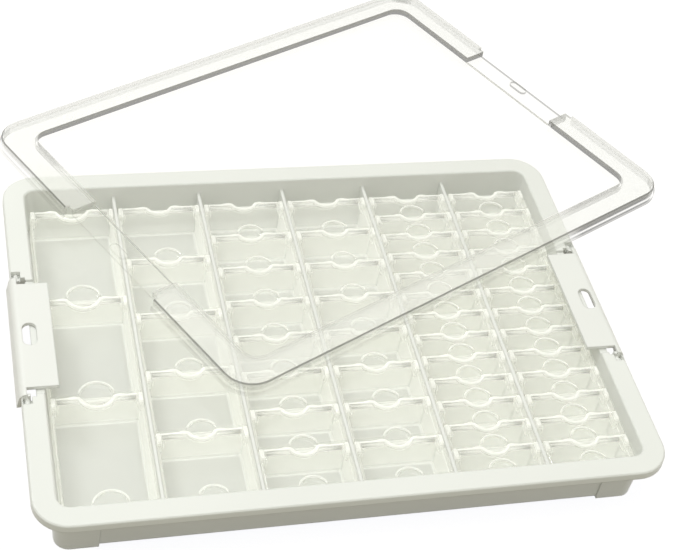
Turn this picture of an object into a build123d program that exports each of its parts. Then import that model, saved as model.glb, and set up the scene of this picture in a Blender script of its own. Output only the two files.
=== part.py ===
from build123d import *
import os
from math import cos, radians, sin, tan

os.makedirs("parts", exist_ok=True)

# Small clear containers, in columns from left to right and rows from back to front
column_counts = (3, 5, 8, 8, 13, 13)
column_run = 228.5
container_width = 51.4
container_height = 25.2
row_gap = 0.4
box_wall = 1.2
box_floor = 1.3
box_draft = 1.0
cap_height = 4.6
cap_wall = 1.2
cap_gap = 0.1
scoop_depth = 3.4
wide_scoop_radius = 9.5
wide_scoop_reach = 8.5
scoop_radius = 8.0
scoop_reach = 6.0
wide_scoop_from = 60.0
ear_thickness = 2.3
ear_inset = 0.3
ear_length = 7.6
ear_root = 3.0
ear_rise = 0.5
ear_gap = 0.3
ear_cut = 1.6
cap_pin_radius = 1.0
cap_pin_gap = 0.08
bead_sides = 8
scoop_sides = 12
smooth_from = 60.0

# White tray
tray_height = 36.0
rim_width = 13.0
rim_thickness = 2.0
rim_radius = 20.0
rim_cut = 0.8
lip_height = 5.0
lip_wall = 1.8
lip_flare = 3.0
tray_wall = 2.0
tray_floor = 2.0
tray_draft = 2.0
well_radius = 7.0
side_gap = 2.8
front_gap = 4.2
back_gap = 11.3
divider_thickness = 2.0
divider_gap = 0.6
divider_drop = 8.0
foot_height = 1.5
foot_length = 26.0
foot_proud = 0.8
foot_wall = 2.8
middle_foot_radius = 14.0
seat_gap = 0.1

# Latches on the two short sides
latch_length = 80.0
latch_reach = 21.0
latch_thickness = 2.2
latch_lift = 1.0
latch_end = 5.5
latch_web = 2.0
web_margin = 0.4
latch_tail = 5.5
latch_flare = 1.2
latch_hole_length = 17.0
latch_hole_width = 8.0
latch_hole_inset = 7.8
pivot_inset = 3.2
pivot_drop = 3.6
latch_pin_radius = 1.5
latch_pin_gap = 0.08
latch_pin_length = 9.0
latch_gap = 0.5
latch_seat_depth = 1.5
latch_seat_wall = 2.0
latch_seat_margin = 4.0
lug_wall = 2.2
lug_slot = 5.0
lug_slot_width = 5.2

# Big clear lid
lid_wall = 1.5
lid_height = 8.5
lid_radius = 18.0
lid_cut = 0.8
step_height = 3.5
step_reach = 1.5
panel_border_long = 19.3
panel_border_wide = 17.5
panel_depth = 4.4
panel_radius = 10.0
shelf_length = 85.0
shelf_inset = 3.0
skirt_gap_length = 95.0
boss_length = 14.5
boss_width = 6.0
boss_height = 1.6

# Where the big lid lies, turned and taken off, on the rim
lid_turn = 27.0
lid_shift = 38.0
lid_balance = 1.5
rest_gap = 0.2

# Worked out from the sizes above
columns = len(column_counts)
divider_pitch = container_width + divider_thickness + 2 * divider_gap
well_length = columns * divider_pitch - divider_thickness - 2 * divider_gap + 2 * side_gap
well_width = column_run + front_gap + back_gap
tray_length = well_length + 2 * rim_width
tray_width = well_width + 2 * rim_width
well_bottom = foot_height + tray_floor
container_base = well_bottom + seat_gap
box_height = container_height - cap_height - cap_gap
cap_bottom = box_height + cap_gap
bead_radius = cap_height / 2
cap_middle = cap_bottom + bead_radius
notch_width = ear_inset + ear_thickness + ear_gap
notch_length = ear_length + 2 * ear_gap
pivot_x = tray_length / 2 - pivot_inset
pivot_z = tray_height - pivot_drop
latch_inner_radius = pivot_drop + latch_lift - latch_thickness
latch_outer_radius = pivot_drop + latch_lift
web_corner = latch_pin_radius + web_margin
latch_half = latch_length / 2
arm_half = latch_half + latch_end
column_front = -well_width / 2 + front_gap


def column_x(column):
    """Middle of a column, counted from 0 at the left."""
    return (column - (columns - 1) / 2) * divider_pitch


def row_depth(column):
    """Depth of each container of a column, which share its run equally."""
    return column_run / column_counts[column] - row_gap


def row_back(column, row):
    """Back edge of a container, its row counted from 1 at the back."""
    rows = column_counts[column]
    return column_front + (rows - row + 1) * column_run / rows


def scoop_size(depth):
    """Radius and reach of the finger scoops, which are larger on the largest container."""
    if depth > wide_scoop_from:
        return wide_scoop_radius, wide_scoop_reach
    return scoop_radius, scoop_reach


def rounding(radius, smooth, sides):
    """Round of a profile, or its few-sided form on the containers that are kept plain."""
    if smooth:
        return Circle(radius)
    return RegularPolygon(radius, sides, major_radius=False, rotation=180 / sides)


def container_box(depth, hinged, smooth):
    """Open clear box with two hinge ears. Its origin is under the middle of its back edge."""
    rim_plane = Plane.XY.offset(box_height)
    with BuildPart() as box:
        with BuildSketch(Plane.XY):
            with Locations((0, -depth / 2)):
                Rectangle(container_width, depth)
        extrude(amount=box_height)
        draft(faces().filter_by(Axis.Z, reverse=True), rim_plane, -box_draft)
        with BuildSketch(rim_plane):
            with Locations((0, -depth / 2)):
                Rectangle(container_width - 2 * box_wall, depth - 2 * box_wall)
        extrude(amount=box_floor - box_height, mode=Mode.SUBTRACT)
        draft(faces(Select.LAST).filter_by(Axis.Z, reverse=True), rim_plane, box_draft)
        with BuildSketch(rim_plane.offset(-ear_root)):
            with Locations((0, -ear_gap - ear_length / 2)):
                with GridLocations(container_width - 2 * ear_inset - ear_thickness, 0, 2, 1):
                    Rectangle(ear_thickness, ear_length)
        extrude(amount=ear_root + cap_gap + cap_height + ear_rise)
        if hinged:
            chamfer(edges().filter_by(Axis.X).group_by(Axis.Z)[-1], ear_cut)
        if smooth:
            with BuildSketch(Plane.YZ):
                with Locations((-bead_radius, cap_middle)):
                    Circle(cap_pin_radius + cap_pin_gap)
            extrude(amount=container_width, both=True, mode=Mode.SUBTRACT)
    return box.part


def container_cap(depth, smooth):
    """Clear flip lid with a rolled back edge and two half-round finger scoops."""
    radius, reach = scoop_size(depth)
    with BuildPart() as cap:
        with BuildSketch(Plane.XY.offset(cap_bottom)):
            with Locations((0, -depth / 2)):
                Rectangle(container_width, depth)
            with Locations((0, -notch_length / 2)):
                with GridLocations(container_width - notch_width, 0, 2, 1):
                    Rectangle(notch_width, notch_length, mode=Mode.SUBTRACT)
        extrude(amount=cap_height)
        with BuildSketch(Plane.YZ):
            with Locations((-(depth + bead_radius) / 2, cap_middle)):
                Rectangle(depth - bead_radius, cap_height)
            with Locations((-bead_radius, cap_middle)):
                rounding(bead_radius, smooth, bead_sides)
        extrude(amount=container_width, both=True, mode=Mode.INTERSECT)
        with BuildSketch(Plane.XY.offset(cap_bottom + cap_height)):
            with Locations((0, radius - reach), (0, reach - radius - depth)):
                rounding(radius, smooth, scoop_sides)
        extrude(amount=-scoop_depth, mode=Mode.SUBTRACT)
        if smooth:
            # Hollow underside, with a square well round each scoop, and the hinge pins
            hollow_back = -cap_height - cap_wall / 2
            hollow_front = -depth + cap_wall
            with BuildSketch(Plane.XY.offset(cap_bottom)):
                with Locations((0, (hollow_back + hollow_front) / 2)):
                    Rectangle(container_width - 2 * cap_wall, hollow_back - hollow_front)
                with Locations((0, -(notch_length + cap_wall) / 2)):
                    with GridLocations(container_width - notch_width - cap_wall, 0, 2, 1):
                        Rectangle(notch_width + cap_wall, notch_length + cap_wall, mode=Mode.SUBTRACT)
                with Locations((0, 0), (0, -depth)):
                    Rectangle(2 * (radius + cap_wall), 2 * (reach + cap_wall), mode=Mode.SUBTRACT)
            extrude(amount=cap_height - cap_wall, mode=Mode.SUBTRACT)
            with BuildSketch(Plane.YZ.offset(-container_width / 2 + ear_gap)):
                with Locations((-bead_radius, cap_middle)):
                    Circle(cap_pin_radius)
            extrude(amount=container_width - 2 * ear_gap)
    return cap.part


# Tray: rim with a turned-down lip, drafted well, dividers, feet and latch seats
with BuildPart() as tray:
    with BuildSketch(Plane.XY.offset(tray_height)):
        RectangleRounded(tray_length, tray_width, rim_radius)
    extrude(amount=-lip_height, taper=-lip_flare)
    with BuildSketch(Plane.XY.offset(tray_height - rim_thickness)):
        RectangleRounded(tray_length - 2 * lip_wall, tray_width - 2 * lip_wall, rim_radius - lip_wall)
    extrude(amount=-lip_height, taper=-lip_flare, mode=Mode.SUBTRACT)

    # Well walls, the four corner feet, which stand a little proud of them, and a foot under the middle
    with BuildSketch(Plane.XY.offset(tray_height)):
        RectangleRounded(well_length + 2 * tray_wall, well_width + 2 * tray_wall, well_radius + tray_wall)
    extrude(amount=foot_height - tray_height, taper=tray_draft)
    proud_length = well_length + 2 * tray_wall + 2 * foot_proud
    proud_width = well_width + 2 * tray_wall + 2 * foot_proud
    with BuildSketch(Plane.XY.offset(tray_height - rim_thickness)):
        RectangleRounded(proud_length, proud_width, well_radius + tray_wall + foot_proud)
        Rectangle(proud_length - 2 * foot_length, proud_width, mode=Mode.SUBTRACT)
        Rectangle(proud_length, proud_width - 2 * foot_length, mode=Mode.SUBTRACT)
    extrude(amount=rim_thickness - tray_height, taper=tray_draft)
    draft_inset = 2 * tray_height * tan(radians(tray_draft))
    with BuildSketch(Plane.XY):
        Rectangle(proud_length - 2 * foot_wall - draft_inset, proud_width - 2 * foot_wall - draft_inset)
    extrude(amount=foot_height, mode=Mode.SUBTRACT)
    with BuildSketch(Plane.XY):
        Circle(middle_foot_radius)
    extrude(amount=foot_height)

    with BuildSketch(Plane.XY.offset(tray_height)):
        RectangleRounded(well_length, well_width, well_radius)
    extrude(amount=well_bottom - tray_height, taper=tray_draft, mode=Mode.SUBTRACT)
    chamfer(faces().sort_by(Axis.Z)[-1].edges(), rim_cut)

    # Dividers between the columns
    with BuildSketch(Plane.XY.offset(well_bottom)):
        with GridLocations(divider_pitch, 0, columns - 1, 1):
            Rectangle(divider_thickness, well_width)
    extrude(amount=tray_height - divider_drop - well_bottom)

    # Latch seats, with a lug at each end that holds a hinge pin
    seat_length = latch_length + 2 * latch_seat_margin
    notch_edge = pivot_x - latch_outer_radius - latch_gap
    lug_start = arm_half + latch_gap
    lug_length = latch_pin_length + lug_wall
    lug_middle = lug_start + lug_length / 2
    lug_bottom = pivot_z - latch_pin_radius - lug_wall
    lug_outer = tray_length / 2 - lip_wall / 2
    lug_inner = well_length / 2 + tray_wall / 2
    for side in (-1, 1):
        seat_middle = side * (tray_length / 2 - rim_width / 2)
        with BuildSketch(Plane.XY.offset(tray_height - latch_seat_depth)):
            with Locations((side * (well_length / 2 + tray_wall / 2 + notch_edge) / 2, 0)):
                Rectangle(notch_edge - well_length / 2 - tray_wall / 2, 2 * lug_middle)
        extrude(amount=-latch_seat_wall)
        with BuildSketch(Plane.XY.offset(tray_height)):
            with Locations((seat_middle, 0)):
                Rectangle(rim_width + 2 * rim_cut, seat_length)
        extrude(amount=-latch_seat_depth, mode=Mode.SUBTRACT)
        with BuildSketch(Plane.XY.offset(lug_bottom)):
            with Locations((side * (lug_inner + lug_outer) / 2, 0)):
                with GridLocations(0, 2 * lug_middle, 1, 2):
                    Rectangle(lug_outer - lug_inner, lug_length)
        extrude(amount=tray_height - rim_thickness / 2 - lug_bottom)
        with BuildSketch(Plane.XY.offset(tray_height)):
            with Locations((side * (notch_edge + rim_width / 2), 0)):
                Rectangle(rim_width, 2 * lug_start)
        extrude(amount=-tray_height / 2, mode=Mode.SUBTRACT)
        with BuildSketch(Plane.XY.offset(tray_height)):
            with Locations((side * pivot_x, 0)):
                with GridLocations(0, 2 * lug_start + lug_slot, 1, 2):
                    Rectangle(lug_slot_width, lug_slot)
        extrude(amount=-pivot_drop, mode=Mode.SUBTRACT)
        with BuildSketch(Plane.XZ.offset(-lug_start - latch_pin_length + latch_gap)):
            with Locations((side * pivot_x, pivot_z)):
                Circle(latch_pin_radius + latch_pin_gap)
        extrude(amount=2 * (lug_start + latch_pin_length - latch_gap), mode=Mode.SUBTRACT)

tray.part.label = "tray"
export_step(tray.part, "parts/tray.step")

def latch_spot(side, out, up):
    """Point of a latch's profile, measured outwards and upwards from its pivot."""
    return (side * (pivot_x + out), pivot_z + up)


# Latches: a plate over the rim, rolled over its hinge pins into a finger tail
outer_bend = sin(radians(45)) * latch_outer_radius
inner_bend = sin(radians(45)) * latch_inner_radius
web_bend = (outer_bend + inner_bend) / 2
plate_inset = latch_reach - pivot_inset
plate_middle = (latch_inner_radius + latch_outer_radius) / 2
for side, name in ((-1, "latch_left"), (1, "latch_right")):
    with BuildPart() as latch:
        with BuildSketch(Plane.XZ):
            with Locations(latch_spot(side, -plate_inset / 2, plate_middle)):
                Rectangle(plate_inset, latch_thickness)
        extrude(amount=latch_half, both=True)
        with BuildSketch(Plane.XZ):
            with BuildLine():
                top = latch_spot(side, 0, latch_outer_radius)
                outer = latch_spot(side, latch_outer_radius, 0)
                outer_end = latch_spot(side, latch_outer_radius + latch_flare, -latch_tail)
                inner_end = latch_spot(side, latch_inner_radius + latch_flare, -latch_tail)
                inner = latch_spot(side, latch_inner_radius, 0)
                under = latch_spot(side, 0, latch_inner_radius)
                ThreePointArc(top, latch_spot(side, outer_bend, outer_bend), outer)
                Polyline(outer, outer_end, inner_end, inner)
                ThreePointArc(inner, latch_spot(side, inner_bend, inner_bend), under)
                Line(under, top)
            make_face()
        extrude(amount=arm_half, both=True)

        # Webs that close the roll at its two ends and carry the pins
        for end in (-1, 1):
            with BuildSketch(Plane.XZ.offset(-end * arm_half)):
                Polygon(
                    latch_spot(side, -web_corner, plate_middle),
                    latch_spot(side, -web_corner, -web_corner),
                    latch_spot(side, plate_middle, -web_corner),
                    latch_spot(side, web_bend, web_bend),
                    align=None,
                )
            extrude(amount=end * latch_web)
            with BuildSketch(Plane.XZ.offset(-end * arm_half)):
                with Locations(latch_spot(side, 0, 0)):
                    Circle(latch_pin_radius)
            extrude(amount=-end * (latch_pin_length - latch_gap))
        with BuildSketch(Plane.XY.offset(tray_height + latch_lift)):
            with Locations((side * (tray_length / 2 - latch_hole_inset), 0)):
                SlotOverall(latch_hole_length, latch_hole_width, rotation=90)
        extrude(amount=-latch_thickness, mode=Mode.SUBTRACT)
    latch.part.label = name
    export_step(latch.part, f"parts/{name}.step")

# Big clear lid, resting on three points: its lip on the back and right rims, its panel on the back corner
lid_length = tray_length
lid_width = tray_width
turn = radians(lid_turn)
lid_middle_y = tray_width / 2 - lid_balance
lip_left = -(lid_length / 2 + step_reach - lid_wall)
lip_front = -(lid_width / 2 + step_reach - lid_wall)
left_run = (tray_width / 2 - lid_middle_y - lip_left * sin(turn)) / cos(turn)
right_run = (tray_length / 2 - lid_shift + lip_front * sin(turn)) / cos(turn)
lip_rest = tray_height + rest_gap + lid_height
panel_rest = tray_height + rest_gap + panel_depth + lid_wall
left_touch = Vector(lid_shift + lip_left * cos(turn) - left_run * sin(turn), tray_width / 2, lip_rest)
right_y = lid_middle_y + right_run * sin(turn) + lip_front * cos(turn)
right_touch = Vector(tray_length / 2, right_y, lip_rest)
edge = (right_touch - left_touch).normalized()
corner_x = tray_length / 2 - rim_radius - rim_radius * edge.Y
corner_y = tray_width / 2 - rim_radius + rim_radius * edge.X
corner_touch = Vector(corner_x, corner_y, panel_rest)
lean = (right_touch - left_touch).cross(corner_touch - left_touch).normalized()
slope_drop = lean.X * (lid_shift - left_touch.X) + lean.Y * (lid_middle_y - left_touch.Y)
lid_middle_z = left_touch.Z - slope_drop / lean.Z
lid_across = Vector(cos(turn), sin(turn), 0)
lid_across = lid_across - lean * lid_across.dot(lean)
lid_plane = Plane(origin=(lid_shift, lid_middle_y, lid_middle_z), x_dir=lid_across, z_dir=lean)
lid_up = Axis(lid_plane.origin, lid_plane.z_dir)

with BuildPart() as big_lid:
    panel_length = lid_length - 2 * panel_border_long
    panel_width = lid_width - 2 * panel_border_wide
    with BuildSketch(lid_plane):
        RectangleRounded(lid_length, lid_width, lid_radius)
    extrude(amount=-lid_height)
    chamfer(faces().sort_by(lid_up)[-1].edges(), lid_cut)
    with BuildSketch(lid_plane.offset(step_height - lid_height)):
        RectangleRounded(lid_length + 2 * step_reach, lid_width + 2 * step_reach, lid_radius + step_reach)
    extrude(amount=-step_height)
    with BuildSketch(lid_plane.offset(-lid_wall)):
        RectangleRounded(lid_length - 2 * lid_wall, lid_width - 2 * lid_wall, lid_radius - lid_wall)
    extrude(amount=lid_wall - lid_height, mode=Mode.SUBTRACT)
    with BuildSketch(lid_plane.offset(step_height - lid_height - lid_wall)):
        RectangleRounded(
            lid_length + 2 * step_reach - 2 * lid_wall,
            lid_width + 2 * step_reach - 2 * lid_wall,
            lid_radius + step_reach - lid_wall,
        )
    extrude(amount=-step_height, mode=Mode.SUBTRACT)

    # Sunken middle panel and the two shelves that the latches close on
    shelf_edge = lid_length / 2 - shelf_inset
    shelf_width = 2 * shelf_edge
    with BuildSketch(lid_plane.offset(-lid_wall)):
        RectangleRounded(panel_length + 2 * lid_wall, panel_width + 2 * lid_wall, panel_radius + lid_wall)
        Rectangle(shelf_width, shelf_length + 2 * lid_wall)
    extrude(amount=-panel_depth)
    with BuildSketch(lid_plane):
        RectangleRounded(panel_length, panel_width, panel_radius)
        Rectangle(lid_length + 2 * step_reach, shelf_length)
    extrude(amount=-panel_depth, mode=Mode.SUBTRACT)
    with BuildSketch(lid_plane):
        with GridLocations(lid_length + 2 * step_reach, 0, 2, 1):
            Rectangle(2 * (shelf_inset + step_reach), skirt_gap_length)
    extrude(amount=-lid_height, mode=Mode.SUBTRACT)
    with BuildSketch(lid_plane.offset(-panel_depth)):
        with GridLocations(lid_length - 2 * latch_hole_inset, 0, 2, 1):
            SlotOverall(boss_length, boss_width, rotation=90)
    extrude(amount=boss_height)

big_lid.part.label = "big_lid"
export_step(big_lid.part, "parts/big_lid.step")

# Containers: the front one of each column on its own, the others of its column together
for column in range(columns):
    depth = row_depth(column)
    rows = column_counts[column]
    middle = column_x(column)
    spots = [(middle, row_back(column, row), container_base) for row in range(1, rows)]
    front_spot = (middle, row_back(column, rows), container_base)
    title = f"column_{column + 1}"

    with BuildPart() as column_boxes:
        with Locations(*spots):
            add(container_box(depth, False, False))
    column_boxes.part.label = f"{title}_boxes"
    export_step(column_boxes.part, f"parts/{title}_boxes.step")

    with BuildPart() as column_caps:
        with Locations(*spots):
            add(container_cap(depth, False))
    column_caps.part.label = f"{title}_flip_lids"
    export_step(column_caps.part, f"parts/{title}_flip_lids.step")

    with BuildPart() as front_box:
        with Locations(front_spot):
            add(container_box(depth, True, depth > smooth_from))
    front_box.part.label = f"{title}_front_box"
    export_step(front_box.part, f"parts/{title}_front_box.step")

    with BuildPart() as front_cap:
        with Locations(front_spot):
            add(container_cap(depth, depth > smooth_from))
    front_cap.part.label = f"{title}_front_flip_lid"
    export_step(front_cap.part, f"parts/{title}_front_flip_lid.step")
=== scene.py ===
import math

import bmesh
import bpy
from mathutils import Matrix, Vector


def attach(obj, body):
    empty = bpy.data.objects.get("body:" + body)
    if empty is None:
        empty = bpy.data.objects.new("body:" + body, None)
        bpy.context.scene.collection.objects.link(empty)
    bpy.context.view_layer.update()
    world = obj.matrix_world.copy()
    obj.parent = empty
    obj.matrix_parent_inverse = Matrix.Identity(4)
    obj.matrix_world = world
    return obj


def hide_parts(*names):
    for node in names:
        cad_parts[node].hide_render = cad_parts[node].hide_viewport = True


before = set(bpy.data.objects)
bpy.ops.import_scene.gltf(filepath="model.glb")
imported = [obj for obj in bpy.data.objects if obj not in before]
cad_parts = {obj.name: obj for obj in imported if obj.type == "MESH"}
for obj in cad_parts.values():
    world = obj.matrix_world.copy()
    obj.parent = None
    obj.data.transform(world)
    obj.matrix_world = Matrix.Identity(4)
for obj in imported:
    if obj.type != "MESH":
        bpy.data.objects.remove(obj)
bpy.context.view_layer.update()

# Camera: a 679 x 550 photograph taken from the front left, a little under a metre away, looking down
# at about 44 degrees. It stands still, with no depth of field and no shift.
camera_place = Vector((-0.2117, -0.6064, 0.6935))
camera_right = Vector((0.96827, -0.21038, 0.13486)).normalized()
camera_up = Vector((0.0550, 0.7059, 0.7062)).normalized()
camera_back = camera_right.cross(camera_up).normalized()
camera_up = camera_back.cross(camera_right).normalized()

camera_data = bpy.data.cameras.new("camera")
camera_data.sensor_width = 36.0
camera_data.lens = 81.87
camera_data.clip_start = 0.02
camera_data.clip_end = 20.0
camera = bpy.data.objects.new("camera", camera_data)
turn = Matrix((camera_right, camera_up, camera_back)).transposed()
camera.matrix_world = Matrix.Translation(camera_place) @ turn.to_4x4()
bpy.context.scene.collection.objects.link(camera)
bpy.context.scene.camera = camera

# Studio: a white table that runs out of view, an even surround, and two soft lamps, a large one above and
# a small one at the back left. Clear and glossy surfaces see a greyer room, so that their edges show, and
# light may pass many thin walls before it is lost.
scene = bpy.context.scene
scene.view_settings.view_transform = "Standard"
scene.cycles.transparent_max_bounces = 48
scene.cycles.max_bounces = 24
scene.cycles.transmission_bounces = 24
scene.cycles.glossy_bounces = 20


def larger(nodes, links, first, second):
    """The larger of two values."""
    pick = nodes.new("ShaderNodeMath")
    pick.operation = "MAXIMUM"
    links.new(first, pick.inputs[0])
    links.new(second, pick.inputs[1])
    return pick.outputs[0]


def seen_directly(nodes, links):
    """1 for rays from the camera, and for those that a clear or glossy surface sends on."""
    path = nodes.new("ShaderNodeLightPath")
    first = larger(nodes, links, path.outputs["Is Camera Ray"], path.outputs["Is Glossy Ray"])
    return larger(nodes, links, first, path.outputs["Is Transmission Ray"])


world = bpy.data.worlds.new("studio")
scene.world = world
world.use_nodes = True
nodes, links = world.node_tree.nodes, world.node_tree.links
nodes.clear()
surround = nodes.new("ShaderNodeBackground")
surround.inputs["Color"].default_value = (1.0, 0.99, 0.88, 1)
surround.inputs["Strength"].default_value = 0.65
backdrop = nodes.new("ShaderNodeBackground")
backdrop.inputs["Color"].default_value = (1, 1, 1, 1)
backdrop.inputs["Strength"].default_value = 1.0
room = nodes.new("ShaderNodeBackground")
room.inputs["Strength"].default_value = 1.0
upward = nodes.new("ShaderNodeTexCoord")
height = nodes.new("ShaderNodeSeparateXYZ")
links.new(upward.outputs["Generated"], height.inputs[0])
walls = nodes.new("ShaderNodeValToRGB")
walls.color_ramp.elements[0].position = 0.05
walls.color_ramp.elements[0].color = (0.5, 0.5, 0.49, 1)
walls.color_ramp.elements[1].position = 0.9
walls.color_ramp.elements[1].color = (0.8, 0.8, 0.8, 1)
links.new(height.outputs["Z"], walls.inputs["Fac"])
links.new(walls.outputs["Color"], room.inputs["Color"])
path = nodes.new("ShaderNodeLightPath")
which = nodes.new("ShaderNodeMixShader")
links.new(seen_directly(nodes, links), which.inputs["Fac"])
links.new(surround.outputs[0], which.inputs[1])
links.new(room.outputs[0], which.inputs[2])
whole = nodes.new("ShaderNodeMixShader")
links.new(path.outputs["Is Camera Ray"], whole.inputs["Fac"])
links.new(which.outputs[0], whole.inputs[1])
links.new(backdrop.outputs[0], whole.inputs[2])
links.new(whole.outputs[0], nodes.new("ShaderNodeOutputWorld").inputs["Surface"])

table_material = bpy.data.materials.new("white_table")
table_material.use_nodes = True
nodes, links = table_material.node_tree.nodes, table_material.node_tree.links
nodes.clear()
paint = nodes.new("ShaderNodeBsdfDiffuse")
paint.inputs["Color"].default_value = (0.2, 0.18, 0.12, 1)
glow = nodes.new("ShaderNodeEmission")
glow.inputs["Color"].default_value = (0.9, 0.91, 0.95, 1)
glow.inputs["Strength"].default_value = 1.0
lit = nodes.new("ShaderNodeAddShader")
links.new(paint.outputs[0], lit.inputs[0])
links.new(glow.outputs[0], lit.inputs[1])
which = nodes.new("ShaderNodeMixShader")
links.new(seen_directly(nodes, links), which.inputs["Fac"])
links.new(paint.outputs[0], which.inputs[1])
links.new(lit.outputs[0], which.inputs[2])
links.new(which.outputs[0], nodes.new("ShaderNodeOutputMaterial").inputs["Surface"])

table_mesh = bpy.data.meshes.new("table")
table_half = 6.0
table_corners = [(x * table_half, y * table_half, 0) for x, y in ((-1, -1), (1, -1), (1, 1), (-1, 1))]
table_mesh.from_pydata(table_corners, [], [(0, 1, 2, 3)])
table_mesh.materials.append(table_material)
table = bpy.data.objects.new("table", table_mesh)
scene.collection.objects.link(table)

lamp_target = Vector((0, 0.05, 0))
for name, place, size, power in (
    ("lamp_above", (-0.2, 0.1, 1.7), 1.3, 10.5),
    ("lamp_back_left", (-0.8, 0.75, 1.3), 0.3, 4.5),
):
    lamp_data = bpy.data.lights.new(name, "AREA")
    lamp_data.shape = "SQUARE"
    lamp_data.size = size
    lamp_data.energy = power
    lamp_data.color = (0.94, 0.97, 1.0)
    lamp = bpy.data.objects.new(name, lamp_data)
    lamp.location = place
    lamp.rotation_mode = "QUATERNION"
    lamp.rotation_quaternion = (Vector(place) - lamp_target).to_track_quat("Z", "Y")
    scene.collection.objects.link(lamp)


# Tray: one white polypropylene moulding with a turned-down lip, a drafted well and thin dividers. It has
# a satin skin with a faint grain, and its edges are a little rounded by the mould.
def white_plastic(name, colour):
    """Satin white moulded plastic with a faint mould grain and soft edges."""
    material = bpy.data.materials.new(name)
    material.use_nodes = True
    nodes, links = material.node_tree.nodes, material.node_tree.links
    skin = nodes["Principled BSDF"]
    skin.inputs["Specular IOR Level"].default_value = 0.45
    place = nodes.new("ShaderNodeTexCoord")
    cloud = nodes.new("ShaderNodeTexNoise")
    cloud.inputs["Scale"].default_value = 14.0
    cloud.inputs["Detail"].default_value = 3.0
    links.new(place.outputs["Object"], cloud.inputs["Vector"])
    tint = nodes.new("ShaderNodeValToRGB")
    tint.color_ramp.elements[0].position = 0.3
    tint.color_ramp.elements[0].color = (*[c * 0.975 for c in colour], 1)
    tint.color_ramp.elements[1].position = 0.7
    tint.color_ramp.elements[1].color = (*colour, 1)
    links.new(cloud.outputs["Fac"], tint.inputs["Fac"])
    links.new(tint.outputs["Color"], skin.inputs["Base Color"])
    gloss = nodes.new("ShaderNodeMapRange")
    gloss.inputs["To Min"].default_value = 0.26
    gloss.inputs["To Max"].default_value = 0.36
    links.new(cloud.outputs["Fac"], gloss.inputs["Value"])
    links.new(gloss.outputs["Result"], skin.inputs["Roughness"])
    grain = nodes.new("ShaderNodeTexNoise")
    grain.inputs["Scale"].default_value = 900.0
    grain.inputs["Detail"].default_value = 2.0
    links.new(place.outputs["Object"], grain.inputs["Vector"])
    edge = nodes.new("ShaderNodeBevel")
    edge.samples = 6
    edge.inputs["Radius"].default_value = 0.0011
    relief = nodes.new("ShaderNodeBump")
    relief.inputs["Strength"].default_value = 0.06
    relief.inputs["Distance"].default_value = 0.0002
    links.new(grain.outputs["Fac"], relief.inputs["Height"])
    links.new(edge.outputs["Normal"], relief.inputs["Normal"])
    links.new(relief.outputs["Normal"], skin.inputs["Normal"])
    return material


def paint_node(node, material):
    """Gives a carried-over piece its finish."""
    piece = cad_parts[node]
    for slot in piece.material_slots:
        slot.material = material


tray_white = white_plastic("tray_white_plastic", (0.86, 0.87, 0.84))
paint_node("tray", tray_white)

# Latches: two white plates of the same plastic as the tray, each moulded in one with the two pins that it
# turns on. The outer edge is rolled over for a fingertip, and an oval hole takes the boss on the big lid.
latch_white = white_plastic("latch_white_plastic", (0.86, 0.865, 0.84))
paint_node("latch_left", latch_white)
paint_node("latch_right", latch_white)


# Containers: fifty open boxes of clear polystyrene with thin drafted walls, and two ears at the back that
# hold a flip lid's hinge. The rows of a column stand in the tray less than half a millimetre apart. Walls
# read as clear film, and every thick edge and round catches the light and turns white.
column_rows = (3, 5, 8, 8, 13, 13)
column_pitch = 0.0546
column_run = 0.2285
column_front = -0.1178
row_gap = 0.0004
container_width = 0.0514
container_foot = 0.0036
box_height = 0.0205
box_wall = 0.0012
box_floor = 0.0013
box_draft = 0.00036
corner_steps = 4
outer_corner = 0.0012
inner_corner = 0.0016
foot_round = 0.0009
floor_round = 0.0012
rim_round = 0.0003
small_round = 0.0002
edge_softness = 0.0003
ear_thickness = 0.0023
ear_inset = 0.0003
ear_front = -0.0079
ear_back = -0.0003
ear_foot = 0.0175
ear_top = 0.0257
ear_round = 0.0019
ear_round_steps = 3


def mould_flow(nodes, links, scale, strength, depth):
    """Place on the piece, faint flow marks, the relief they give, and how far the surface turns away."""
    place = nodes.new("ShaderNodeTexCoord")
    flow = nodes.new("ShaderNodeTexNoise")
    flow.inputs["Scale"].default_value = scale
    flow.inputs["Detail"].default_value = 2.0
    links.new(place.outputs["Object"], flow.inputs["Vector"])
    relief = nodes.new("ShaderNodeBump")
    relief.inputs["Strength"].default_value = strength
    relief.inputs["Distance"].default_value = depth
    links.new(flow.outputs["Fac"], relief.inputs["Height"])
    slant = nodes.new("ShaderNodeLayerWeight")
    slant.inputs["Blend"].default_value = 0.5
    links.new(relief.outputs["Normal"], slant.inputs["Normal"])
    return place, flow, relief, slant


def thin_film(nodes, links, passing, mirror, relief, slant):
    """Light that goes straight through, with a mirror over it that grows where the surface turns away."""
    mirror.inputs["Color"].default_value = (1, 1, 1, 1)
    links.new(relief.outputs["Normal"], mirror.inputs["Normal"])
    steep = nodes.new("ShaderNodeMath")
    steep.operation = "POWER"
    steep.inputs[1].default_value = 5.0
    links.new(slant.outputs["Facing"], steep.inputs[0])
    shine = nodes.new("ShaderNodeMapRange")
    shine.inputs["To Min"].default_value = 0.04
    shine.inputs["To Max"].default_value = 0.6
    links.new(steep.outputs[0], shine.inputs["Value"])
    film = nodes.new("ShaderNodeMixShader")
    links.new(shine.outputs["Result"], film.inputs["Fac"])
    links.new(passing.outputs[0], film.inputs[1])
    links.new(mirror.outputs[0], film.inputs[2])
    return film


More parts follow.
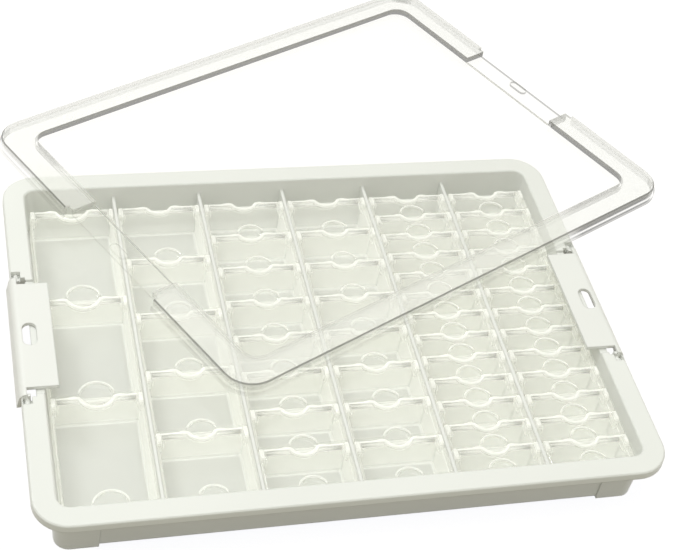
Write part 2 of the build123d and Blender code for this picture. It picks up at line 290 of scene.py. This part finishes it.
def pass_light(nodes, links, surface, colour):
    """Puts the surface on the piece, and lets the light that falls on other pieces through it."""
    path = nodes.new("ShaderNodeLightPath")
    through = larger(nodes, links, path.outputs["Is Shadow Ray"], path.outputs["Is Diffuse Ray"])
    glow = nodes.new("ShaderNodeBsdfTransparent")
    glow.inputs["Color"].default_value = (*colour, 1)
    lit = nodes.new("ShaderNodeMixShader")
    links.new(through, lit.inputs["Fac"])
    links.new(surface.outputs[0], lit.inputs[1])
    links.new(glow.outputs[0], lit.inputs[2])
    links.new(lit.outputs[0], nodes.new("ShaderNodeOutputMaterial").inputs["Surface"])


def clear_film(name, tint, facing_haze, edge_haze, roughness, whiteness):
    """Clear thin plastic that whitens where it is seen along its surface, at its edges and rounds."""
    material = bpy.data.materials.new(name)
    material.use_nodes = True
    nodes, links = material.node_tree.nodes, material.node_tree.links
    nodes.clear()
    _, _, relief, slant = mould_flow(nodes, links, scale=55.0, strength=0.12, depth=0.0005)
    haze = nodes.new("ShaderNodeMapRange")
    haze.interpolation_type = "SMOOTHSTEP"
    haze.inputs["From Min"].default_value = 0.25
    haze.inputs["From Max"].default_value = 0.95
    haze.inputs["To Min"].default_value = facing_haze
    haze.inputs["To Max"].default_value = edge_haze
    links.new(slant.outputs["Facing"], haze.inputs["Value"])
    passing = nodes.new("ShaderNodeBsdfTransparent")
    passing.inputs["Color"].default_value = (*tint, 1)
    mirror = nodes.new("ShaderNodeBsdfGlossy")
    mirror.inputs["Roughness"].default_value = roughness
    film = thin_film(nodes, links, passing, mirror, relief, slant)
    front = nodes.new("ShaderNodeBsdfDiffuse")
    front.inputs["Color"].default_value = (whiteness, whiteness, 0.985 * whiteness, 1)
    links.new(relief.outputs["Normal"], front.inputs["Normal"])
    behind = nodes.new("ShaderNodeBsdfTranslucent")
    behind.inputs["Color"].default_value = (0.5, 0.5, 0.49, 1)
    links.new(relief.outputs["Normal"], behind.inputs["Normal"])
    milk = nodes.new("ShaderNodeAddShader")
    links.new(front.outputs[0], milk.inputs[0])
    links.new(behind.outputs[0], milk.inputs[1])
    whole = nodes.new("ShaderNodeMixShader")
    links.new(haze.outputs["Result"], whole.inputs["Fac"])
    links.new(film.outputs[0], whole.inputs[1])
    links.new(milk.outputs[0], whole.inputs[2])
    pass_light(nodes, links, whole, (0.978, 0.978, 0.975))
    return material


def ring(half, front, back, radius, height):
    """Corner points of a rounded rectangle, anticlockwise seen from above."""
    points = []
    for corner, (x_side, y_side) in enumerate(((1, 1), (-1, 1), (-1, -1), (1, -1))):
        middle_x = x_side * (half - radius)
        middle_y = back - radius if y_side > 0 else front + radius
        for step in range(corner_steps + 1):
            angle = math.radians(90 * (corner + step / corner_steps))
            spot = (middle_x + radius * math.cos(angle), middle_y + radius * math.sin(angle), height)
            points.append(Vector(spot))
    return points


def loft(shape, rings, finishes):
    """Closed skin through a stack of rings, each band with its own finish, filled at both ends."""
    rows = [[shape.verts.new(point) for point in points] for points in rings]
    count = len(rows[0])
    for low, high, finish in zip(rows, rows[1:], finishes):
        for i in range(count):
            j = (i + 1) % count
            face = shape.faces.new((low[i], low[j], high[j], high[i]))
            face.smooth = True
            face.material_index = finish
    for ends in (rows[0][::-1], rows[-1]):
        shape.faces.new(ends).material_index = 2


def prism(shape, outline, left, right, finish):
    """Plate with the given outline across the box, from left to right."""
    sides = [[shape.verts.new((x, y, z)) for y, z in outline] for x in (left, right)]
    count = len(outline)
    faces = [shape.faces.new(sides[0]), shape.faces.new(sides[1][::-1])]
    for i in range(count):
        j = (i + 1) % count
        faces.append(shape.faces.new((sides[0][j], sides[0][i], sides[1][i], sides[1][j])))
    for face in faces:
        face.material_index = finish
    bmesh.ops.recalc_face_normals(shape, faces=faces)


def add_box(shape, x, back, depth):
    """One open box with its ears, its back edge at the given place."""
    half = container_width / 2
    foot = container_foot
    rim = foot + box_height
    floor = foot + box_floor
    inside = box_wall + box_draft
    levels = (
        (box_draft + foot_round, outer_corner, foot, 0),
        (box_draft + foot_round / 3, outer_corner, foot + small_round, 0),
        (box_draft, outer_corner, foot + foot_round, 0),
        (0.0, outer_corner, rim - rim_round, 0),
        (small_round, outer_corner, rim, 1),
        (box_wall - small_round, outer_corner, rim, 1),
        (box_wall, outer_corner, rim - rim_round, 1),
        (inside, inner_corner, floor + floor_round, 0),
        (inside + floor_round / 3, inner_corner, floor + floor_round / 3, 1),
        (inside + floor_round, inner_corner, floor, 1),
    )
    rings = [ring(half - e, back - depth + e, back - e, r, z) for e, r, z, _ in levels]
    for points in rings:
        for point in points:
            point.x += x
    loft(shape, rings, [finish for *_, finish in levels[1:]])
    outline = [(back + ear_front, foot + ear_foot), (back + ear_back, foot + ear_foot)]
    for middle_y, start in ((back + ear_back - ear_round, 0), (back + ear_front + ear_round, 90)):
        for step in range(ear_round_steps + 1):
            angle = math.radians(start + 90 * step / ear_round_steps)
            y = middle_y + ear_round * math.cos(angle)
            outline.append((y, foot + ear_top - ear_round + ear_round * math.sin(angle)))
    for side in (-1, 1):
        middle = x + side * (half - ear_inset - ear_thickness / 2)
        prism(shape, outline, middle - ear_thickness / 2, middle + ear_thickness / 2, 1)


def add_piece(name, shape, finishes, body):
    """Turns the shape into a piece with its finishes, which rides on a body."""
    mesh = bpy.data.meshes.new(name)
    shape.to_mesh(mesh)
    shape.free()
    for finish in finishes:
        mesh.materials.append(finish)
    piece = bpy.data.objects.new(name, mesh)
    scene.collection.objects.link(piece)
    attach(piece, body)
    return piece


def soften_edges(piece, width, segments, least_turn):
    """Rounds the edges that turn by more than the given degrees, as the mould leaves them."""
    softened = piece.modifiers.new("moulded_edges", "BEVEL")
    softened.width = width
    softened.segments = segments
    softened.limit_method = "ANGLE"
    softened.angle_limit = math.radians(least_turn)


def column_places(column):
    """Middle of a column, depth of its containers, and the back edge of each row from the back."""
    rows = column_rows[column]
    pitch = column_run / rows
    backs = [column_front + (rows - row) * pitch for row in range(rows)]
    middle = (column - (len(column_rows) - 1) / 2) * column_pitch
    return middle, pitch - row_gap, backs


thin_tint = (0.987, 0.987, 0.982)
thick_tint = (0.975, 0.975, 0.965)
box_wall_film = clear_film(
    "container_wall_film", thin_tint, facing_haze=0.22, edge_haze=0.75, roughness=0.07, whiteness=0.95
)
box_edge = clear_film(
    "container_thick_edge", thick_tint, facing_haze=0.55, edge_haze=0.95, roughness=0.12, whiteness=0.86
)
box_floor_film = clear_film(
    "container_floor_film", thin_tint, facing_haze=0.03, edge_haze=0.6, roughness=0.05, whiteness=0.8
)
for column in range(len(column_rows)):
    middle, depth, backs = column_places(column)
    title = f"column_{column + 1}"
    for node, body, places in (
        (f"{title}_boxes", "tray", backs[:-1]),
        (f"{title}_front_box", f"{title}_front_box", backs[-1:]),
    ):
        boxes = bmesh.new()
        for back in places:
            add_box(boxes, middle, back, depth)
        finishes = (box_wall_film, box_edge, box_floor_film)
        piece = add_piece(f"{node}_moulded", boxes, finishes, body)
        soften_edges(piece, edge_softness, segments=2, least_turn=50)
        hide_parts(node)

# Flip lids: a clear polystyrene plate with turned-down sides on every container, which snaps between its
# ears. The back edge is rolled into the hinge, with a raised lip round the finger scoop, and the front edge
# has a second scoop for the finger that opens the row in front.
lid_top = 0.0288
cap_height = 0.0046
cap_wall = 0.0010
bead_radius = 0.0023
scoop_depth = 0.0034
notch_width = 0.0029
notch_length = 0.0082
small_scoop = (0.0080, 0.0060)
large_scoop = (0.0095, 0.0085)
large_depth = 0.06
scoop_steps = 14
lip_radius = 0.0012
lip_sink = 0.0008
lip_line = -0.0013
lip_offset = 0.0006
lip_bend = math.radians(60)
lip_curve = 0.0026
lip_tail = 0.0055
lip_curve_steps = 5
lip_arc_steps = 16
front_lip_radius = 0.00045
front_lip_short = 0.1
tube_sides = 8
blunt_end = 0.35


def scoop(depth):
    """Radius and reach of the finger scoops, larger on the largest containers."""
    return large_scoop if depth > large_depth else small_scoop


def add_tube(shape, path, thickness, height):
    """Round tube along a level path, drawn in to a blunt point at both ends."""
    rows = []
    for i, point in enumerate(path):
        along = (path[min(i + 1, len(path) - 1)] - path[max(i - 1, 0)]).normalized()
        across = Vector((-along.y, along.x))
        size = thickness * (blunt_end if i in (0, len(path) - 1) else 1.0)
        row = []
        for step in range(tube_sides):
            angle = math.radians(360 * (step + 0.5) / tube_sides)
            out = point + across * size * math.cos(angle)
            row.append(shape.verts.new((out.x, out.y, height + size * math.sin(angle))))
        rows.append(row)
    faces = [shape.faces.new(rows[0]), shape.faces.new(rows[-1])]
    for low, high in zip(rows, rows[1:]):
        for i in range(tube_sides):
            j = (i + 1) % tube_sides
            face = shape.faces.new((low[i], low[j], high[j], high[i]))
            face.smooth = True
            faces.append(face)
    for face in faces:
        face.material_index = 1
    bmesh.ops.recalc_face_normals(shape, faces=faces)


def add_lip(shape, x, back, depth):
    """Raised round lip along the hinge that dips round the scoop, and a thin one at the front scoop."""
    radius, reach = scoop(depth)
    centre_y = radius - reach
    ring_radius = radius + lip_offset
    start = Vector((-ring_radius * math.sin(lip_bend), centre_y - ring_radius * math.cos(lip_bend)))
    corner = Vector((start.x - (lip_line - start.y) / math.tan(lip_bend), lip_line))
    outer = Vector((corner.x - lip_curve, lip_line))
    path = [Vector((outer.x - lip_tail, lip_line)), outer]
    for step in range(1, lip_curve_steps):
        t = step / lip_curve_steps
        path.append((1 - t) ** 2 * outer + 2 * t * (1 - t) * corner + t * t * start)
    left_run = path[::-1]
    for step in range(lip_arc_steps + 1):
        angle = lip_bend * (2 * step / lip_arc_steps - 1)
        path.append(Vector((ring_radius * math.sin(angle), centre_y - ring_radius * math.cos(angle))))
    path += [Vector((-point.x, point.y)) for point in left_run]
    place = Vector((x, back))
    add_tube(shape, [place + point for point in path], lip_radius, lid_top - lip_sink)
    spread = math.acos(centre_y / radius) - front_lip_short
    front = Vector((x, back - depth - centre_y))
    turns = [spread * (2 * step / lip_arc_steps - 1) for step in range(lip_arc_steps + 1)]
    path = [front + Vector((ring_radius * math.sin(t), ring_radius * math.cos(t))) for t in turns]
    add_tube(shape, path, front_lip_radius, lid_top - front_lip_radius / 2)


def add_flip_lid(shape, x, back, depth):
    """One flip lid, open underneath, with its rolled back edge and both scoops."""
    radius, reach = scoop(depth)
    half = container_width / 2
    notch_x = half - notch_width
    low = lid_top - cap_height
    pocket = lid_top - scoop_depth
    centre_y = radius - reach
    level = math.degrees(math.asin((bead_radius - scoop_depth) / bead_radius))
    made = {}

    def spot(px, py, pz):
        key = (round(px, 7), round(py, 7), round(pz, 7))
        if key not in made:
            made[key] = shape.verts.new((x + px, back + py, pz))
        return made[key]

    faces = []

    def skin(corners, finish=0, smooth=False):
        face = shape.faces.new(corners)
        face.material_index = finish
        face.smooth = smooth
        faces.append(face)
        return face

    # The hinge bead, from its top over the back to its underside: end beside the scoop, height and place.
    # Its first six points lie on the scoop's wall, and the last two below the scoop.
    roll = []
    for angle in (90, 65, 45, -level, 0, level, -55, -90):
        y = -bead_radius + bead_radius * math.cos(math.radians(angle))
        z = lid_top - bead_radius + bead_radius * math.sin(math.radians(angle))
        end = math.sqrt(radius**2 - (y - centre_y) ** 2) if len(roll) < 6 else roll[5][0]
        roll.append((end, z, y))

    # Outlines of both scoops in the plate.
    mouth = math.acos((centre_y + bead_radius) / radius)
    turns = [mouth * (2 * k / scoop_steps - 1) for k in range(scoop_steps + 1)]
    arc = [(radius * math.sin(t), centre_y - radius * math.cos(t)) for t in turns]
    arc[0], arc[-1] = (-roll[0][0], -bead_radius), (roll[0][0], -bead_radius)
    front_mouth = math.acos(centre_y / radius)
    turns = [front_mouth * (2 * k / scoop_steps - 1) for k in range(scoop_steps + 1)]
    front_y = -depth - centre_y
    front_arc = [(radius * math.sin(t), front_y + radius * math.cos(t)) for t in turns]
    open_x = math.sqrt(radius**2 - centre_y**2)
    front_arc[0], front_arc[-1] = (-open_x, -depth), (open_x, -depth)

    # The plate, the walls and the floors of both scoops.
    top = [spot(-half, -depth, lid_top)] + [spot(px, py, lid_top) for px, py in front_arc]
    top += [spot(half, -depth, lid_top), spot(half, -notch_length, lid_top)]
    top += [spot(notch_x, -notch_length, lid_top), spot(notch_x, -bead_radius, lid_top)]
    top += [spot(px, py, lid_top) for px, py in arc[::-1]]
    top += [spot(-notch_x, -bead_radius, lid_top), spot(-notch_x, -notch_length, lid_top)]
    top += [spot(-half, -notch_length, lid_top)]
    plate = skin(top)
    for line in (arc, front_arc):
        for (ax, ay), (bx, by) in zip(line, line[1:]):
            upper = (spot(ax, ay, lid_top), spot(bx, by, lid_top))
            skin(upper + (spot(bx, by, pocket), spot(ax, ay, pocket)), 0, True)
    skin([spot(px, py, pocket) for px, py in front_arc])
    ends = [roll[5], roll[2], roll[1]]
    base = [spot(-px, py, pocket) for px, _, py in ends] + [spot(px, py, pocket) for px, py in arc]
    skin(base + [spot(px, py, pocket) for px, _, py in ends[::-1]])

    # Bead, notch for the ear, and turned-down side and front, left and right.
    for side in (-1, 1):
        for j in range(len(roll) - 1):
            (ax, az, ay), (bx, bz, by) = roll[j], roll[j + 1]
            inner = (spot(side * ax, ay, az), spot(side * bx, by, bz))
            outer = (spot(side * notch_x, by, bz), spot(side * notch_x, ay, az))
            skin(inner + outer, 1, True)
            if j < 3:
                drop = (spot(side * bx, by, pocket), spot(side * ax, ay, pocket))
                skin(inner + drop, 0, True)
        skin([spot(side * px, py, pz) for px, pz, py in roll[3:6]])
        cheek = [spot(side * notch_x, py, pz) for _, pz, py in roll]
        cheek += [spot(side * notch_x, -notch_length, low), spot(side * notch_x, -notch_length, lid_top)]
        skin(cheek)
        upper = (spot(side * half, -notch_length, lid_top), spot(side * notch_x, -notch_length, lid_top))
        lower = (spot(side * notch_x, -notch_length, low), spot(side * half, -notch_length, low))
        skin(upper + lower)
        upper = (spot(side * half, -depth, lid_top), spot(side * half, -notch_length, lid_top))
        lower = (spot(side * half, -notch_length, low), spot(side * half, -depth, low))
        skin(upper + lower)
        upper = (spot(side * half, -depth, lid_top), spot(side * open_x, -depth, lid_top))
        lower = (spot(side * open_x, -depth, low), spot(side * half, -depth, low))
        skin(upper + (spot(side * open_x, -depth, pocket),) + lower)

    # Front under its scoop, and the bead under the back one.
    upper = (spot(-open_x, -depth, pocket), spot(open_x, -depth, pocket))
    skin(upper + (spot(open_x, -depth, low), spot(-open_x, -depth, low)))
    for j in (5, 6):
        (ax, az, ay), (bx, bz, by) = roll[j], roll[j + 1]
        skin((spot(-ax, ay, az), spot(ax, ay, az), spot(bx, by, bz), spot(-bx, by, bz)), 1, True)
    bmesh.ops.recalc_face_normals(shape, faces=faces)
    if plate.normal.z < 0:
        bmesh.ops.reverse_faces(shape, faces=faces)


cap_film = clear_film(
    "flip_lid_film", thin_tint, facing_haze=0.02, edge_haze=0.7, roughness=0.06, whiteness=0.86
)
cap_edge = clear_film(
    "flip_lid_thick_edge", thick_tint, facing_haze=0.65, edge_haze=0.97, roughness=0.12, whiteness=0.86
)
for column in range(len(column_rows)):
    middle, depth, backs = column_places(column)
    title = f"column_{column + 1}"
    for node, body, places in (
        (f"{title}_flip_lids", "tray", backs[:-1]),
        (f"{title}_front_flip_lid", f"{title}_front_flip_lid", backs[-1:]),
    ):
        caps = bmesh.new()
        for back in places:
            add_flip_lid(caps, middle, back, depth)
        piece = add_piece(f"{node}_moulded", caps, (cap_film, cap_edge), body)
        soften_edges(piece, edge_softness, segments=2, least_turn=50)
        hollow = piece.modifiers.new("thin_wall", "SOLIDIFY")
        hollow.thickness = cap_wall
        hollow.offset = -1
        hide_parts(node)
        lips = bmesh.new()
        for back in places:
            add_lip(lips, middle, back, depth)
        add_piece(f"{node}_lip", lips, (cap_film, cap_edge), body)


# Big lid: one clear moulding, taken off the tray and laid turned across it. A raised border with a stepped
# skirt runs round the sunken panel, and a shelf for each latch breaks the border at both short sides. Its
# colour carries painted shade: over the table the walls are tinted grey, darkest on the skirt along the
# back and short sides, over the tray a lighter grey, and the rounds everywhere hold painted dark lines.
lid_turn = math.radians(27.0)
lid_middle = Vector((0.038, 0.1335, 0.04314))
lid_up = Vector((0.00805, 0.03355, 0.99940)).normalized()
lid_along = Vector((-math.sin(lid_turn), math.cos(lid_turn), 0)).cross(lid_up).normalized()
lid_across = lid_up.cross(lid_along)
skirt_along = 0.1755
skirt_across = 0.1325
border_foot = -0.0040
border_top = -0.0020
tray_edges = (("X", 0.172, 0.186), ("Y", 0.128, 0.142))


def beyond_tray(nodes, links, place):
    """0 where the lid lies over the tray, and 1 where it stands out over the table."""
    spot = nodes.new("ShaderNodeSeparateXYZ")
    links.new(place.outputs["Object"], spot.inputs[0])
    past_edges = []
    for axis, start, end in tray_edges:
        past = nodes.new("ShaderNodeMapRange")
        past.inputs["From Min"].default_value = start
        past.inputs["From Max"].default_value = end
        links.new(spot.outputs[axis], past.inputs["Value"])
        past_edges.append(past.outputs["Result"])
    return larger(nodes, links, *past_edges)


def outer_skirt(nodes, links, place):
    """1 on the skirt along the lid's back and short sides, 0 elsewhere."""
    offset = nodes.new("ShaderNodeVectorMath")
    offset.operation = "SUBTRACT"
    offset.inputs[1].default_value = lid_middle
    links.new(place.outputs["Object"], offset.inputs[0])
    sides = []
    short_sides = ((lid_along, skirt_along), (-lid_along, skirt_along))
    for direction, reach in (*short_sides, (lid_across, skirt_across)):
        out = nodes.new("ShaderNodeVectorMath")
        out.operation = "DOT_PRODUCT"
        out.inputs[1].default_value = direction
        links.new(offset.outputs["Vector"], out.inputs[0])
        past = nodes.new("ShaderNodeMath")
        past.operation = "GREATER_THAN"
        past.inputs[1].default_value = reach
        links.new(out.outputs["Value"], past.inputs[0])
        sides.append(past.outputs[0])
    return larger(nodes, links, larger(nodes, links, *sides[:2]), sides[2])


def raised_border(nodes, links, place):
    """1 at the height of the raised border, 0 at the height of the panel and of the skirt's foot."""
    rise = nodes.new("ShaderNodeVectorMath")
    rise.operation = "DOT_PRODUCT"
    rise.inputs[1].default_value = lid_up
    links.new(place.outputs["Object"], rise.inputs[0])
    border = nodes.new("ShaderNodeMapRange")
    border.inputs["From Min"].default_value = lid_middle.dot(lid_up) + border_foot
    border.inputs["From Max"].default_value = lid_middle.dot(lid_up) + border_top
    links.new(rise.outputs["Value"], border.inputs["Value"])
    return border.outputs["Result"]


def blend(nodes, links, share, first, second):
    """A colour between two others, each of them a fixed tone or another node's colour."""
    mix = nodes.new("ShaderNodeMixRGB")
    links.new(share, mix.inputs["Fac"])
    for colour, socket in ((first, mix.inputs["Color1"]), (second, mix.inputs["Color2"])):
        if isinstance(colour, tuple):
            socket.default_value = (*colour, 1)
        else:
            links.new(colour, socket)
    return mix.outputs["Color"]


def clear_lid(name):
    """Clear moulding: plates let light through, walls grey it with painted shade set by where they lie, and
    rounds hold painted dark lines and the border a little frost.
    """
    material = bpy.data.materials.new(name)
    material.use_nodes = True
    nodes, links = material.node_tree.nodes, material.node_tree.links
    nodes.clear()
    place, flow, relief, slant = mould_flow(nodes, links, scale=60.0, strength=0.08, depth=0.0004)
    parts = nodes.new("ShaderNodeSeparateXYZ")
    links.new(place.outputs["Normal"], parts.inputs[0])
    level = nodes.new("ShaderNodeMath")
    level.operation = "ABSOLUTE"
    links.new(parts.outputs["Z"], level.inputs[0])
    upright = nodes.new("ShaderNodeMapRange")
    upright.interpolation_type = "SMOOTHSTEP"
    upright.inputs["From Min"].default_value = 0.9
    upright.inputs["From Max"].default_value = 0.3
    links.new(level.outputs[0], upright.inputs["Value"])
    along = nodes.new("ShaderNodeMapRange")
    along.interpolation_type = "SMOOTHSTEP"
    along.inputs["From Min"].default_value = 0.4
    links.new(slant.outputs["Facing"], along.inputs["Value"])
    steepness = larger(nodes, links, upright.outputs["Result"], along.outputs["Result"])

    beyond = beyond_tray(nodes, links, place)
    border = raised_border(nodes, links, place)
    # Painted shade: walls are tinted grey where the lid stands out over the table, darkest (0.27) on the
    # skirt along its back and short sides, and a lighter grey over the tray.
    painted_shade_far_wall = blend(nodes, links, outer_skirt(nodes, links, place), (0.27, 0.27, 0.27), (0.78, 0.78, 0.78))
    wall = blend(nodes, links, beyond, (0.84, 0.84, 0.83), painted_shade_far_wall)
    # Painted shade: the raised border's tint is a little greyer over the tray (0.94) than over the table
    # (0.97).
    border_tint_and_painted_shade = blend(nodes, links, beyond, (0.94, 0.94, 0.92), (0.97, 0.97, 0.97))
    plate = blend(nodes, links, border, (0.995, 0.995, 0.99), border_tint_and_painted_shade)
    one_surface = nodes.new("ShaderNodeGamma")
    one_surface.inputs["Gamma"].default_value = 0.5
    links.new(blend(nodes, links, steepness, plate, wall), one_surface.inputs["Color"])
    passing = nodes.new("ShaderNodeBsdfTransparent")
    links.new(one_surface.outputs["Color"], passing.inputs["Color"])
    gloss = nodes.new("ShaderNodeMapRange")
    gloss.inputs["To Min"].default_value = 0.02
    gloss.inputs["To Max"].default_value = 0.06
    links.new(flow.outputs["Fac"], gloss.inputs["Value"])
    mirror = nodes.new("ShaderNodeBsdfGlossy")
    links.new(gloss.outputs["Result"], mirror.inputs["Roughness"])
    film = thin_film(nodes, links, passing, mirror, relief, slant)

    # Painted shade: the rounds (slanted faces) get a dark diffuse colour that draws thin dark lines along
    # the lid's edges, while the border plate gets a little white frost.
    rounds = nodes.new("ShaderNodeValToRGB")
    rounds.color_ramp.elements[0].position = 0.05
    rounds.color_ramp.elements[0].color = (0, 0, 0, 1)
    rounds.color_ramp.elements[1].position = 0.99
    rounds.color_ramp.elements[1].color = (0, 0, 0, 1)
    for position in (0.3, 0.9):
        rounds.color_ramp.elements.new(position).color = (1, 1, 1, 1)
    links.new(level.outputs[0], rounds.inputs["Fac"])
    frost = nodes.new("ShaderNodeMath")
    frost.operation = "MULTIPLY"
    frost.inputs[1].default_value = 0.26
    links.new(border, frost.inputs[0])
    held = nodes.new("ShaderNodeMath")
    held.operation = "MULTIPLY_ADD"
    held.inputs[1].default_value = 0.42
    links.new(rounds.outputs["Color"], held.inputs[0])
    links.new(frost.outputs[0], held.inputs[2])
    milk = nodes.new("ShaderNodeBsdfDiffuse")
    frost_and_painted_line_tone = blend(nodes, links, rounds.outputs["Color"], (0.92, 0.92, 0.9), (0.22, 0.22, 0.21))
    links.new(frost_and_painted_line_tone, milk.inputs["Color"])
    links.new(relief.outputs["Normal"], milk.inputs["Normal"])
    whole = nodes.new("ShaderNodeMixShader")
    links.new(held.outputs[0], whole.inputs["Fac"])
    links.new(film.outputs[0], whole.inputs[1])
    links.new(milk.outputs[0], whole.inputs[2])
    pass_light(nodes, links, whole, (0.992, 0.992, 0.99))
    return material


paint_node("big_lid", clear_lid("lid_clear_plastic"))
soften_edges(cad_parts["big_lid"], 0.0006, segments=3, least_turn=40)


# Shelf ribs: two low clear ribs, moulded in one with the big lid. Each carries the edge of the sunken panel
# across a latch shelf, between the two ends of the raised border.
panel_end = 0.1587
panel_sink = -0.0044
rib_reach = 0.0424
rib_half_width = 0.00055
rib_foot = 0.00002
rib_shoulder = 0.0006
rib_top = 0.0009
rib_crown = 0.00025
rib_film = clear_film(
    "lid_rib_film", (0.8, 0.8, 0.79), facing_haze=0.2, edge_haze=0.7, roughness=0.08, whiteness=0.6
)
rib_outline = [(-rib_half_width, rib_foot), (-rib_half_width, rib_shoulder), (-rib_crown, rib_top)]
rib_outline += [(-u, w) for u, w in rib_outline[::-1]]
for side, name in ((-1, "lid_shelf_rib_left"), (1, "lid_shelf_rib_right")):
    rib = bmesh.new()
    ends = []
    for reach in (-rib_reach, rib_reach):
        line = lid_middle + lid_along * side * panel_end + lid_across * reach + lid_up * panel_sink
        ends.append([rib.verts.new(line + lid_along * u + lid_up * w) for u, w in rib_outline])
    count = len(rib_outline)
    for i in range(count):
        j = (i + 1) % count
        rib.faces.new((ends[0][i], ends[0][j], ends[1][j], ends[1][i]))
    rib.faces.new(ends[0])
    rib.faces.new(ends[1])
    bmesh.ops.recalc_face_normals(rib, faces=rib.faces[:])
    add_piece(name, rib, (rib_film,), "big_lid")
